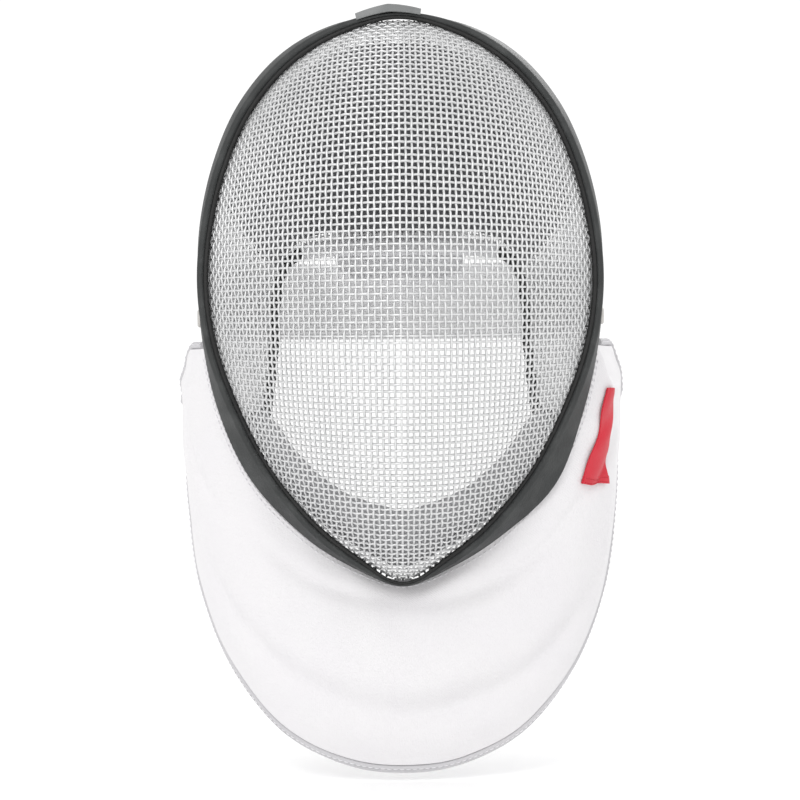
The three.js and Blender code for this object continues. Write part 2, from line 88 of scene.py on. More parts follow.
# %% Tables of the right half, in millimetres
BAND_ROWS = {
    "x": [0, 31, 57, 77.5, 90.5, 98, 99.8, 96.4, 87, 70, 46, 22, 0],
    "y": [-96, -95, -93, -90.5, -88, -86, -85, -84.5, -84, -84.5, -86.5, -88.5, -89],
    "z": [11.3, 6, -8.5, -32, -60, -91, -122, -153, -184.5, -218, -245.5, -262, -270.5],
    "tilt": [0, 8, 14, 14, 11, 7, 1, 8, 22, 28, 17, 7, 0],
}
HOOD_ROWS = {
    "x": [0, 20, 38, 54, 65, 70, 71.5, 72.5, 75, 78],
    "y": [90, 89.5, 87, 82, 77, 74.5, 73, 70, 60, 48],
    "z": [-92, -92, -92.5, -95, -103, -118, -137, -156, -178, -192],
    "back": [92, 92, 90, 82, 70, 60, 56, 54, 52, 50],
    "out": [0, 2, 3, 3, 3, 3, 3, 3, 3, 3],
    "lift": [11, 10, 6, 2, 0, 0, 0, 0, 0, 0],
    "bend_x": [0, 3, 10, 20, 30, 36, 36, 34, 28, 24],
    "bend_y": [2, 0, -8, -28, -44, -46, -46, -46, -44, -42],
    "bend_z": [100, 99, 96, 84, 54, 20, 4, -4, -10, -12],
}
HEM_ROWS = {
    "x": [0, 30, 61, 88, 104, 110.5, 112],
    "y": [-92, -87, -72, -48, -24, -12, -14],
    "z": [-361.5, -357.5, -342, -310, -271, -225, -184],
    "bulge": [9, 9, 7, 5.5, 5, 5, 2.5],
}
BAND = {"width": 16, "thickness": 4, "overlap": 2}
GAP = 0.35                   # air between two pieces
CLOTH_SINK = -3.95           # middle of the wire cloth, measured in from the middle of the band
NOSE_Y, NOSE_Z = -172, -115  # most forward point of the crease
BEYOND = 2                   # rows added past each end of a table


def extend(rows, first="mirror", last="straight"):
    """Adds rows past both ends of a table, so that the curve knows how to leave its last row: a
    mirror image in the plane x = 0, or a straight continuation."""
    out = {}
    for name, column in rows.items():
        column = np.array(column, float)
        flip = -1 if name == "x" else 1
        steps = np.arange(1, BEYOND + 1)
        before = flip * column[BEYOND:0:-1]
        after = flip * column[-2:-2 - BEYOND:-1]
        if first == "straight":
            before = column[0] - (column[1] - column[0]) * steps[::-1]
        if last == "straight":
            after = column[-1] + (column[-1] - column[-2]) * steps
        out[name] = np.concatenate([before, column, after])
    return out


def read(table, name, position):
    """A column at fractional rows: the Catmull-Rom curve through four neighbours a, b, c, d."""
    first = np.floor(position).astype(int)
    t = position - first
    a, b, c, d = (table[name][first + BEYOND + k] for k in (-1, 0, 1, 2))
    square = a - 2.5 * b + 2 * c - 0.5 * d
    cube = (d - a) / 2 + 1.5 * (b - c)
    return b + t * ((c - a) / 2 + t * (square + t * cube))


def point_at(table, position):
    """x, y and z of a table's curve at fractional rows."""
    return np.stack([read(table, name, position) for name in "xyz"], -1)


BAND_TABLE = extend(BAND_ROWS, last="mirror")
HOOD_TABLE = extend(HOOD_ROWS)
HEM_TABLE = extend(HEM_ROWS)
LAST_BAND = len(BAND_ROWS["x"]) - 1
print("band runs through", LAST_BAND + 1, "rows a side")

# %% [markdown]
# ## The surfaces
# The band carries its own little frame along with it: across its width, through its thickness.
# The face, the hood and the bib all start from that frame, so they meet the band by construction.
# A position called turn runs from -12 at the chin, up the left side to 0 at the top, and down the
# right side to 12 at the chin again.


# %% The band's own frame
def unit(v):
    """Each vector divided by its length."""
    return v / np.linalg.norm(v, axis=-1, keepdims=True)


def side_of(position):
    """1, 1, 1 on the right half and -1, 1, 1 on the left, to mirror a point."""
    side = np.ones(np.shape(position) + (3,))
    side[..., 0] = np.where(np.asarray(position) < 0, -1.0, 1.0)
    return side


def band_frame(turn):
    """Centre, across, through and outward of the band. Rearward is +Y made square to the band's
    run; across and through are rearward and outward turned by the row's tilt."""
    row = np.abs(turn)
    step = 0.01
    run = unit(point_at(BAND_TABLE, row + step) - point_at(BAND_TABLE, row - step))
    rearward = unit(np.array([0.0, 1.0, 0.0]) - run * run[..., 1:2])
    outward = unit(np.cross(run, rearward))
    tilt = np.radians(read(BAND_TABLE, "tilt", row))[..., None]
    across = rearward * np.cos(tilt) + outward * np.sin(tilt)
    through = outward * np.cos(tilt) - rearward * np.sin(tilt)
    side = side_of(turn)
    return [v * side for v in (point_at(BAND_TABLE, row), across, through, outward)]


def beside_band(turn, rear, out):
    """A point beside the band: centre + across * rear + through * out."""
    centre, across, through, _ = band_frame(turn)
    return centre + across * np.asarray(rear)[..., None] + through * np.asarray(out)[..., None]


# %% Face, hood and bib as functions of two numbers
EDGE = beside_band(np.linspace(0, LAST_BAND, 900), -BAND["overlap"], CLOTH_SINK)[::-1]


def face_depth(x, z):
    """y of the face. The crease is two quarter ellipses that meet at the nose. From the crease
    out, the wall leaves straight and rolls back with the cube of the share of the half width."""
    half = np.maximum(np.interp(z, EDGE[:, 2], EDGE[:, 0]), 0.5)
    edge_y = np.interp(z, EDGE[:, 2], EDGE[:, 1])
    end = np.where((z > NOSE_Z)[..., None], EDGE[-1], EDGE[0])
    share = np.clip(np.abs((z - NOSE_Z) / (end[..., 2] - NOSE_Z)), 0, 1)
    fullness = 0.97
    bow = (1 - np.sqrt(1 - (fullness * share) ** 2)) / (1 - math.sqrt(1 - fullness**2))
    crease = NOSE_Y + (end[..., 1] - NOSE_Y) * bow
    q = np.clip(np.abs(x) / half, 0, 1.05)
    return crease + (edge_y - crease) * (0.37 * q + 0.63 * q**3)


def hood_point(turn, share):
    """A cubic Bezier rib from the band (share 0) to the rear opening (share 1)."""
    row = np.abs(turn)
    start = beside_band(row, BAND["overlap"], CLOTH_SINK)
    end = point_at(HOOD_TABLE, row)
    outward = band_frame(row)[3]
    early = start + outward * read(HOOD_TABLE, "out", row)[..., None]
    early[..., 1] += read(HOOD_TABLE, "back", row)
    early[..., 2] += read(HOOD_TABLE, "lift", row)
    bend = [read(HOOD_TABLE, name, row) for name in ("bend_x", "bend_y", "bend_z")]
    late = end + np.stack(bend, -1)
    s = np.asarray(share)[..., None]
    early_part = start * (1 - s) ** 3 + 3 * early * s * (1 - s) ** 2
    return side_of(turn) * (early_part + 3 * late * s**2 * (1 - s) + end * s**3)


WING_CORNER = np.array([108.0, -27.0, -153.0])
WING_LEAVES, LAST_WING = 5, 6    # where the bib's top leaves the band, and where it ends
BIB_REAR = 9.55                  # the bib hangs this far behind the middle of the band
NECK_Y = -20.0


def bib_point(along, down):
    """Straight from the sewn top to the hem, plus a parabola of bulge away from the neck. along
    runs from -6 at the left wing over 0 under the chin to 6 at the right wing."""
    row = np.abs(along)
    sewn = beside_band(LAST_BAND - np.minimum(row, WING_LEAVES), BIB_REAR, 0)
    free = (np.maximum(row - WING_LEAVES, 0) / (LAST_WING - WING_LEAVES))[..., None]
    top = sewn * (1 - free) + WING_CORNER * free
    down = np.asarray(down)[..., None]
    point = top * (1 - down) + point_at(HEM_TABLE, row) * down
    away = unit(point * [1, 1, 0] - [0, NECK_Y, 0])
    bulge = 4 * down * (1 - down) * read(HEM_TABLE, "bulge", row)[..., None]
    return side_of(along) * (point + away * bulge)


def normal_of(surface, u, v, step=0.01):
    """Unit normal of a surface of two numbers, from two small differences."""
    along_u = surface(u + step, v) - surface(u - step, v)
    along_v = surface(u, v + step) - surface(u, v - step)
    return unit(np.cross(along_u, along_v))


print("face edge spans", np.round(EDGE.min(0)), np.round(EDGE.max(0)))

# %% [markdown]
# ## Shader expressions
# A finish on cloth or leather is a sum of simple patterns. Wiring each sum by hand takes many lines
# and hides the idea, so one small class lets a node's output stand in an ordinary Python
# expression, and each operator adds the Math node that it needs.


# %% A value that can be reckoned with
class Value:
    """One output of a shader node, used like a number."""

    def __init__(self, finish, socket):
        self.finish = finish
        self.socket = socket

    def out(self, name):
        """Another output of the same node."""
        return Value(self.finish, self.socket.node.outputs[name])

    def maths(self, operation, first, second=0.0):
        return self.finish.node("ShaderNodeMath", {"operation": operation}, {0: first, 1: second})

    def __add__(self, other):
        return self.maths("ADD", self, other)

    def __sub__(self, other):
        return self.maths("SUBTRACT", self, other)

    def __rsub__(self, other):
        return self.maths("SUBTRACT", other, self)

    def __mul__(self, other):
        return self.maths("MULTIPLY", self, other)

    def __truediv__(self, other):
        return self.maths("DIVIDE", self, other)

    def __pow__(self, other):
        return self.maths("POWER", self, other)

    __radd__ = __add__
    __rmul__ = __mul__

    def sine(self):
        return self.maths("SINE", self)

    def kept(self):
        """Held between 0 and 1."""
        return self.maths("MINIMUM", self.maths("MAXIMUM", self, 0.0), 1.0)


class Finish:
    """A material with its Principled shader, and one method that adds any other node."""

    def __init__(self, name, **constants):
        self.material = bpy.data.materials.new(name)
        self.material.use_nodes = True
        self.tree = self.material.node_tree
        self.shader = self.tree.nodes["Principled BSDF"]
        for key, value in constants.items():
            self.set(key.replace("_", " "), value)

    def put(self, socket, value):
        if isinstance(value, Value):
            self.tree.links.new(value.socket, socket)
        else:
            socket.default_value = value

    def set(self, name, value):
        self.put(self.shader.inputs[name], value)

    def node(self, kind, settings=None, inputs=None, output=0):
        """A node of that kind: its settings first, then the values or links of its sockets."""
        made = self.tree.nodes.new(kind)
        for key, value in (settings or {}).items():
            setattr(made, key, value)
        for key, value in (inputs or {}).items():
            self.put(made.inputs[key], value)
        return Value(self, made.outputs[output])

    def place(self):
        return self.node("ShaderNodeTexCoord", output="Object")

    def cloth_place(self):
        """Metres along and across the cloth, from the piece's own map."""
        spot = self.node("ShaderNodeSeparateXYZ", inputs={0: self.node("ShaderNodeTexCoord", output="UV")})
        return spot.out("X"), spot.out("Y")

    def cloud(self, size, detail=2.0, place=None):
        """Soft noise about that many metres across, from 0 to 1."""
        place = place or self.place()
        settings = {"Vector": place, "Scale": 1 / size, "Detail": detail}
        return self.node("ShaderNodeTexNoise", inputs=settings)

    def blend(self, share, first, second):
        """The first colour where share is 0, the second where it is 1."""
        colours = {0: share, 6: first, 7: second}
        return self.node("ShaderNodeMix", {"data_type": "RGBA"}, colours, output=2)

    def relief(self, height, depth):
        """Raises the surface by height, from 0 to 1, times depth in metres."""
        raised = {"Height": height, "Distance": depth, "Strength": 1.0}
        self.set("Normal", self.node("ShaderNodeBump", inputs=raised))


def tone(red, green, blue):
    """A colour in linear light, opaque."""
    return (red, green, blue, 1.0)


# %% [markdown]
# ## Putting numpy shapes into Blender
# Each piece is worked out as whole arrays of points, then handed to one helper that makes the
# mesh, turns it right side out, gives it its material and its place in the frame. Two shapes come
# again and again: a section carried along a path, such as the band, and a wall of cloth about a
# grid of middle points, such as the bib.


# %% From arrays to a piece
def quads(rows, columns, wrap_rows=False, wrap_columns=False):
    """Four corners of each cell of a grid of points, as rows of an array."""
    i = np.arange(rows if wrap_rows else rows - 1)[:, None]
    j = np.arange(columns if wrap_columns else columns - 1)[None, :]
    n, k = (i + 1) % rows, (j + 1) % columns
    corners = [i * columns + j, i * columns + k, n * columns + k, n * columns + j]
    return np.stack([np.broadcast_to(c, (i.size, j.size)) for c in corners], -1).reshape(-1, 4)


def volume_of(points, faces):
    """Signed volume: a sixth of the triple product over the fans of all faces."""
    total = 0.0
    for block in faces:
        for k in range(1, block.shape[1] - 1):
            a, b, c = (points[block[:, i]] for i in (0, k, k + 1))
            total += np.einsum("ij,ij->", a, np.cross(b, c)) / 6
    return total


def make_piece(name, points, faces, finish, stands_for=(), cloth=None, crease=40):
    """Makes a closed mesh from points in millimetres and blocks of faces, and seats it."""
    points = np.asarray(points).reshape(-1, 3)
    if volume_of(points, faces) < 0:
        faces = [block[:, ::-1] for block in faces]
    mesh = bpy.data.meshes.new(name)
    mesh.from_pydata((points * MM).tolist(), [], [f for block in faces for f in block.tolist()])
    mesh.shade_smooth()
    mesh.set_sharp_from_angle(angle=math.radians(crease))
    if cloth is not None:
        corners = np.zeros(len(mesh.loops), int)
        mesh.loops.foreach_get("vertex_index", corners)
        flat = np.asarray(cloth).reshape(-1, 2)[corners] * MM
        mesh.uv_layers.new(name="cloth").data.foreach_set("uv", flat.ravel())
    mesh.materials.append(finish.material)
    piece = bpy.data.objects.new(name, mesh)
    bpy.context.scene.collection.objects.link(piece)
    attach(piece, "root")
    if stands_for:
        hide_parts(*stands_for)
    print(f"{name}: {sum(len(b) * (b.shape[1] - 2) for b in faces)} triangles")
    return piece


def lengths(points, axis):
    """Distance run along one axis of a grid of points, starting from 0."""
    steps = np.linalg.norm(np.diff(points, axis=axis), axis=-1)
    start = np.zeros_like(np.take(steps, [0], axis=axis))
    return np.concatenate([start, np.cumsum(steps, axis=axis)], axis=axis)


def rounded_bar(width, thickness, steps=8):
    """Outline of a flat bar with half-round edges, as pairs (across, through)."""
    turn = np.linspace(-math.pi / 2, math.pi / 2, steps)
    reach = (width - thickness) / 2
    right = np.stack([reach + thickness / 2 * np.cos(turn), thickness / 2 * np.sin(turn)], -1)
    return np.concatenate([right, -right])


def swept(centre, across, through, section, closed):
    """Points and faces of a section carried along a path: centre + across * a + through * t.
    The section may differ from place to place. Open paths get a flat cap at each end."""
    section = np.broadcast_to(section, (len(centre),) + np.shape(section)[-2:])
    a, t = section[..., 0:1], section[..., 1:2]
    points = centre[:, None] + across[:, None] * a + through[:, None] * t
    rows, columns = points.shape[:2]
    faces = [quads(rows, columns, closed, True)]
    if not closed:
        ring = np.arange(columns)[None, :]
        faces += [ring[:, ::-1], ring + (rows - 1) * columns]
    run = np.broadcast_to(lengths(centre, 0)[:, None], (rows, columns))
    round_it = np.broadcast_to(lengths(points, 1)[:1], (rows, columns))
    return points, faces, np.stack([run, round_it], -1)


def walled(middle, thickness, normal=None):
    """Points and faces of a wall about a grid of middle points, closed round its four edges:
    middle + normal * thickness / 2 and middle - normal * thickness / 2."""
    rows, columns = middle.shape[:2]
    if normal is None:
        normal = unit(np.cross(np.gradient(middle, axis=1), np.gradient(middle, axis=0)))
    offset = normal * np.broadcast_to(thickness, (rows, columns))[..., None] / 2
    points = np.stack([middle + offset, middle - offset])
    flat = quads(rows, columns)
    border = np.arange(rows * columns).reshape(rows, columns)
    rim = np.concatenate([border[0, :-1], border[:-1, -1], border[-1, :0:-1], border[:0:-1, 0]])
    after = np.roll(rim, -1)
    under = rows * columns
    edge = np.stack([after, rim, rim + under, after + under], -1)
    spot = np.stack([lengths(middle, 1), lengths(middle, 0)], -1)
    return points, [flat, flat[:, ::-1] + under, edge], np.stack([spot, spot])

# %% [markdown]
# ## Wire cloth
# The face of a mask is plain-woven steel cloth: 1 mm wires, each crimped over and under the wires
# that cross it, pressed hot into a creased dome. Pressing keeps the distance between wires along
# the surface, bends the level wires down towards the sides above the nose and up below it, and
# draws the upright wires together at both ends. A picture of a weave on a smooth wall has no holes
# to see through and no depth, so every wire is a real tube here. One function makes all the tubes
# of one direction at once.


# %% Many thin tubes in one mesh
def make_wires(name, centre, normal, keep, radius, sides, finish, slot, stands_for=()):
    """Tubes along rows of points (wire, place, 3): centre + radius * (flat * cos + up * sin).
    Places that keep leaves out end the tube with a closed cap."""
    run = unit(np.gradient(centre, axis=1))
    flat = unit(np.cross(run, normal))
    up = np.cross(flat, run)
    turn = (np.arange(sides) + 0.5) * 2 * math.pi / sides
    ring = flat[:, :, None] * np.cos(turn)[:, None] + up[:, :, None] * np.sin(turn)[:, None]
    radius = np.broadcast_to(radius, centre.shape[:2])[..., None, None]
    points = (centre[:, :, None] + radius * ring).reshape(-1, 3)
    first = np.arange(keep.size).reshape(keep.shape) * sides
    joined = keep[:, 1:] & keep[:, :-1]
    here, there = first[:, :-1][joined][:, None], first[:, 1:][joined][:, None]
    j = np.arange(sides)
    k = (j + 1) % sides
    walls = np.stack([here + j, here + k, there + k, there + j], -1).reshape(-1, 4)
    gap = np.zeros((len(keep), 1), bool)
    starts = joined & ~np.concatenate([gap, joined[:, :-1]], 1)
    stops = joined & ~np.concatenate([joined[:, 1:], gap], 1)
    caps = np.concatenate([
        first[:, :-1][starts][:, None] + j[::-1],
        first[:, 1:][stops][:, None] + j,
    ])
    used, walls_caps = np.unique(np.concatenate([walls.ravel(), caps.ravel()]), return_inverse=True)
    walls, caps = walls_caps[:walls.size].reshape(-1, 4), walls_caps[walls.size:].reshape(-1, sides)
    return make_piece(name, points[used], [walls, caps], finish, stands_for, crease=80)


# %% [markdown]
# Bright steel reflects the room, so its colour comes mostly from the light around it. A slow cloud
# in colour and roughness keeps the wires from looking like one casting.


# %% Steel
def make_steel(name, dark, light):
    steel = Finish(name, Metallic=0.85)
    cloud = steel.cloud(0.016, detail=3.0)
    steel.set("Base Color", steel.blend(cloud, dark, light))
    steel.set("Roughness", 0.36 + 0.2 * cloud)
    return steel


steel_wire = make_steel("bright_steel_wire", tone(0.64, 0.645, 0.65), tone(0.78, 0.78, 0.78))

# %% [markdown]
# The wires of the face are laid by arc length: columns 3.25 mm apart measured round the face at the
# nose, rows 3.4 mm apart measured down the crease.

# %% Where a wire of the face lies
PITCH_ACROSS, PITCH_UP = 3.25, 3.4
WIRE_RADIUS, CRIMP = 0.6, 0.45

nose_x = np.linspace(0, EDGE[:, 0].max(), 800)
nose_line = np.stack([nose_x, face_depth(nose_x, np.full(800, NOSE_Z - 0.01))], -1)
nose_arc = lengths(nose_line, 0)
crease_z = np.linspace(EDGE[0, 2], EDGE[-1, 2], 1500)
crease_arc = lengths(np.stack([face_depth(0 * crease_z, crease_z), crease_z], -1), 0)
crease_arc -= np.interp(NOSE_Z, crease_z, crease_arc)


def face_place(a, r):
    """The point a along the level arc and r up the crease, both from the nose. Columns close up
    by a share of the squared height; rows sag by the squared distance from the crease."""
    z = np.interp(r, crease_arc, crease_z)
    above = z > NOSE_Z
    height = np.abs((z - NOSE_Z) / (np.where(above, EDGE[-1, 2], EDGE[0, 2]) - NOSE_Z))
    x = np.sign(a) * np.interp(np.abs(a), nose_arc, nose_x) * (1 - 0.14 * height**2)
    z = z - np.where(above, 1, -1) * 0.0021 * height**1.3 * x**2
    return np.stack([x, face_depth(x, z), z], -1)


def drawn_out(point):
    """The wires' ends pulled out a little under the band at the top and at the chin."""
    top = np.clip((point[..., 2] + 20) / 27, 0, 1) ** 2
    chin = np.clip((-point[..., 2] - 235) / 31, 0, 1) ** 2
    pulled = point.copy()
    pulled[..., 2] += 2.0 * top - 2.8 * chin
    return pulled


def inside_face(point):
    """True where a point lies within the outline that the band covers."""
    half = np.interp(point[..., 2], EDGE[:, 2], EDGE[:, 0])
    level = (point[..., 2] > EDGE[0, 2] + 0.5) & (point[..., 2] < EDGE[-1, 2] - 0.5)
    return level & (np.abs(point[..., 0]) < half)


# %% Weave the face
side_count = int(nose_arc[-1] / PITCH_ACROSS) + 1
column_ids = np.arange(-side_count, side_count + 1)
row_ids = np.arange(int(crease_arc[0] / PITCH_UP), int(crease_arc[-1] / PITCH_UP) + 1)


def weave_face(ids, other_ids, pitch, other_pitch, place, sign):
    """Wires number ids, each sampled at every crossing and between: the surface point, moved
    along its normal by crimp * cos(pi * crossing), the other way on the next wire."""
    at = np.arange(other_ids[0] * 2, other_ids[-1] * 2 + 1) / 2
    wire, crossing = np.meshgrid(ids, at, indexing="ij")
    along, across = crossing * other_pitch, wire * pitch
    centre = place(along, across)
    step = 0.4
    run = place(along + step, across) - place(along - step, across)
    beside = place(along, across + step) - place(along, across - step)
    normal = sign * unit(np.cross(run, beside))
    over = sign * CRIMP * np.cos(np.pi * crossing) * np.where(wire % 2 == 0, 1, -1)
    return drawn_out(centre) + normal * over[..., None], normal, inside_face(centre)


rows = weave_face(row_ids, column_ids, PITCH_UP, PITCH_ACROSS, face_place, 1)
columns = weave_face(column_ids, row_ids, PITCH_ACROSS, PITCH_UP, lambda r, a: face_place(a, r), -1)
make_wires("face_row_wires", *rows, WIRE_RADIUS, 6, steel_wire, "steel_wire", ["face_mesh"])
make_wires("face_column_wires", *columns, WIRE_RADIUS, 6, steel_wire, "steel_wire")
print("face wires:", len(row_ids), "rows and", len(column_ids), "columns")

# %% [markdown]
# The hood is the same cloth, cut and bent round the head, so its wires run along the ribs from the
# band to the rear opening and in rings round them. The hood is seen from further off, and four
# sides are enough for each wire.

# %% Weave the hood
HOOD_END = 8.3
rib_turns = np.linspace(-HOOD_END, HOOD_END, 900)
ring_arc = lengths(hood_point(rib_turns, np.full(900, 0.35)), 0)
rib_count = int(ring_arc[-1] / PITCH_ACROSS)
shares = np.linspace(0, 1, 400)
rib_arc = lengths(hood_point(np.full(400, 3.0), shares), 0)
ring_count = int(rib_arc[-1] / PITCH_UP)


def hood_place(rib, ring):
    """The crossing number rib, ring: turn and share looked up by arc length."""
    turn = np.interp(rib / rib_count, ring_arc / ring_arc[-1], rib_turns)
    share = np.interp(ring / ring_count, rib_arc / rib_arc[-1], shares)
    return turn, share


def weave_hood(wires, crossings, along_ribs, sign):
    """As for the face, with both numbers counted in crossings."""
    wire, crossing = np.meshgrid(np.arange(wires + 1), np.arange(2 * crossings + 1) / 2, indexing="ij")
    turn, share = hood_place(wire, crossing) if along_ribs else hood_place(crossing, wire)
    normal = normal_of(hood_point, turn, share)
    over = sign * CRIMP * np.cos(np.pi * crossing) * np.where(wire % 2 == 0, 1, -1)
    return hood_point(turn, share) + normal * over[..., None], normal, np.ones(turn.shape, bool)


ribs = weave_hood(rib_count, ring_count, True, 1)
rings = weave_hood(ring_count, rib_count, False, -1)
make_wires("hood_rib_wires", *ribs, WIRE_RADIUS, 4, steel_wire, "steel_wire", ["hood_mesh"])
make_wires("hood_ring_wires", *rings, WIRE_RADIUS, 4, steel_wire, "steel_wire")
print("hood wires:", rib_count + 1, "ribs and", ring_count + 1, "rings")

# %% [markdown]
# ## Edge band and bindings
# A strip of coated leather cloth is folded over the two raw edges of wire where face and hood meet.
# It has a fine pebbled grain, it is a little worn and paler on the outside where the mask is set
# down, and its front edge is rolled into a thin lip over the wire ends. That lip is coloured near
# black, darker than the band: painted shadow of the gap between the band and the wire. The grain
# is a bump from small cells; a real displacement of half a tenth of a millimetre would not show.


# %% Coated leather cloth
def make_coated(name, deep, worn, wear):
    coated = Finish(name, Specular_IOR_Level=0.42)
    place = coated.place()
    grain = coated.node("ShaderNodeTexVoronoi", inputs={"Vector": place, "Scale": 900.0})
    rubbed = ((coated.cloud(0.012, detail=5.0) - 0.45) * 3.0).kept()
    shade = rubbed * wear
    coated.set("Base Color", coated.blend(shade, deep, worn))
    coated.set("Roughness", 0.5 + 0.18 * coated.cloud(0.02))
    coated.relief(grain + 0.6 * coated.cloud(0.003), 0.00012)
    return coated


black_coated = make_coated("charcoal_band", tone(0.024, 0.026, 0.026), tone(0.07, 0.073, 0.072), 0.5)
# The lip's near-black colours are painted shadow of the gap between the band's rolled edge and the wire; they
# are darker than the band itself.
lip_painted_shadow = make_coated("lip_painted_shadow", tone(0.008, 0.008, 0.008), tone(0.02, 0.02, 0.02), 0.3)

# %% [markdown]
# The strip is one section carried round the face. It is pulled thin at the chin and under the tab,
# where the two ends of wire come close together, and it flares a little where it turns under the
# cheeks, more on the right than on the left.

# %% Edge band and its rolled lip
turns = np.linspace(-LAST_BAND, LAST_BAND, 421)[:-1]
centre, across, through, _ = band_frame(turns)
ring = rounded_bar(BAND["width"], BAND["thickness"], 12)
top_half = BAND["thickness"] / 2
thin = 1 - 0.66 * np.exp(-(((LAST_BAND - np.abs(turns)) / 0.9) ** 2)) - 0.4 * np.exp(-((turns / 0.7) ** 2))
flare = 4.5 * np.exp(-(((turns - 9.0) / 0.75) ** 2)) + 1.2 * np.exp(-(((turns + 8.6) / 0.9) ** 2))
rear_share = np.clip(ring[None, :, 0] / (BAND["width"] / 2), 0, 1)
depth = top_half - (top_half - ring[None, :, 1]) * thin[:, None] + flare[:, None] * rear_share
strip = np.stack([np.broadcast_to(ring[:, 0], depth.shape), depth], -1)
points, faces, cloth = swept(centre, across, through, strip, True)
make_piece("edge_band_strip", points, faces, black_coated, ["edge_band"], cloth)
lip_turn = np.linspace(0, 2 * math.pi, 11)[:-1]
lip = 1.4 * np.stack([np.cos(lip_turn), np.sin(lip_turn)], -1) * (0.45 + 0.55 * thin)[:, None, None]
lip_depth = top_half - 4.5 * thin
lip = lip + np.stack([-7.0 + 0 * lip_depth, lip_depth], -1)[:, None]
points, faces, cloth = swept(centre, across, through, lip, True)
make_piece("edge_band_lip", points, faces, lip_painted_shadow, (), cloth)

# %% [markdown]
# The free edge of the hood would cut, so it is bound with the same material. The binding follows
# the edge of a surface, so one helper walks round the edge: at each stop it steps out past the
# edge, square to it, and then a smooth curve is drawn through the stops.


# %% Walk round the edge of a surface
def edge_route(surface, stops, width, refine=5):
    """stops are rows of (u, v, end_u, end_v), where end is -1, 0 or 1 on the side where the
    surface ends. The route lies a gap and half the width outside the edge."""
    u, v, end_u, end_v = np.array(stops, float).T
    h = 0.01
    along_u = surface(u + h * (end_u <= 0), v) - surface(u - h * (end_u >= 0), v)
    along_v = surface(u, v + h * (end_v <= 0)) - surface(u, v - h * (end_v >= 0))

    def square_to(direction, edge):
        part = (direction * edge).sum(-1, keepdims=True) / (edge * edge).sum(-1, keepdims=True)
        return unit(direction - edge * part)

    reach = square_to(along_u, along_v) * end_u[:, None]
    reach = reach + square_to(along_v, along_u) * end_v[:, None]
    sides = (np.abs(end_u) + np.abs(end_v))[:, None]
    beyond = GAP + width / 2
    centre = surface(u, v) + reach * beyond * sides / (reach * reach).sum(-1, keepdims=True)
    normal = unit(np.cross(along_u, along_v))
    both = np.concatenate([centre, normal], 1)
    table = extend({str(i): both[:, i] for i in range(6)}, first="straight")
    places = np.linspace(0, len(stops) - 1, (len(stops) - 1) * refine + 1)
    smooth = np.stack([read(table, str(i), places) for i in range(6)], -1)
    centre, normal = smooth[:, :3], unit(smooth[:, 3:])
    run = unit(np.gradient(centre, axis=0))
    across = unit(np.cross(normal, run))
    return centre, across, unit(np.cross(run, across))


# %% [markdown]
# Sewing is small, but it says how a thing is made. One stitch is a short tube that dives at both
# ends, and a seam is the same tube at even steps along a path, so a seam of hundreds of stitches
# is one call.


# %% A seam of stitches
def make_seam(name, path, normal, finish, slot, pitch=3.2, length=2.3, radius=0.28):
    """Stitches at even steps along a path: each is sampled at five places, lifted by
    radius * cos from end to end."""
    run = lengths(path, 0)
    middle = np.arange(pitch, run[-1] - pitch, pitch)[:, None]
    share = np.linspace(-1, 1, 5)[None, :]
    at = middle + share * length / 2
    centre = np.stack([np.interp(at, run, path[:, i]) for i in range(3)], -1)
    up = unit(np.stack([np.interp(at, run, normal[:, i]) for i in range(3)], -1))
    lift = radius * (np.cos(share * math.pi / 2) - 0.35)
    centre = centre + up * (lift + 0 * at)[..., None]
    thick = radius * (0.45 + 0.55 * np.cos(share * math.pi / 2)) + 0 * at
    return make_wires(name, centre, up, np.ones(at.shape, bool), thick, 5, finish, slot)


# %% Hood binding
hood_stations = np.linspace(-HOOD_END, HOOD_END, 35)
hood_shares = np.linspace(0, 1, 11)
stops = [(-HOOD_END, s, -1, 0) for s in hood_shares[1:-1]] + [(-HOOD_END, 1, -1, 1)]
stops += [(t, 1, 0, 1) for t in hood_stations[1:-1]] + [(HOOD_END, 1, 1, 1)]
stops += [(HOOD_END, s, 1, 0) for s in hood_shares[-2:0:-1]]
centre, across, through = edge_route(hood_point, stops, 7)
points, faces, cloth = swept(centre, across, through, rounded_bar(7, 4, 8), False)
make_piece("hood_edge_binding", points, faces, black_coated, ["hood_binding"], cloth)
thread = Finish("dark_thread", Base_Color=tone(0.05, 0.05, 0.052), Roughness=0.8)
for number, face in enumerate((1, -1)):
    path = centre + across * 2.1 + through * 2.0 * face
    make_seam(f"hood_binding_seam_{number}", path, through * face, thread, "edge_band")

# %% [markdown]
# ## Cloth
# The bib is a close white weave in several layers, sewn under the chin of the band. It hangs in a
# bow from cheek to cheek, and the weight of its hem pulls long shallow folds into it: an arc close
# under the chin and a broad hollow above the hem. A cloth simulation would find folds of its own.
# A small table of folds puts them where they belong: each row is a soft ridge or hollow along a
# line on the cloth.

# %% Folds of the bib
FOLDS = {
    "along": [1.7, -1.6, 0.2, 2.3, -2.6, 4.2, -4.3, 5.1, -5.2],
    "down": [0.2, 0.18, 0.72, 0.76, 0.7, 0.42, 0.46, 0.3, 0.32],
    "lean": [0.045, -0.04, 0.0, 0.03, -0.02, 0.16, -0.16, 0.25, -0.25],
    "reach": [1.3, 1.1, 2.2, 1.4, 1.4, 0.9, 0.8, 0.5, 0.5],
    "width": [0.05, 0.045, 0.1, 0.08, 0.08, 0.05, 0.05, 0.05, 0.05],
    "height": [-3.0, -2.2, -5.0, -2.6, -2.4, -2.4, -1.8, 1.6, 1.3],
}


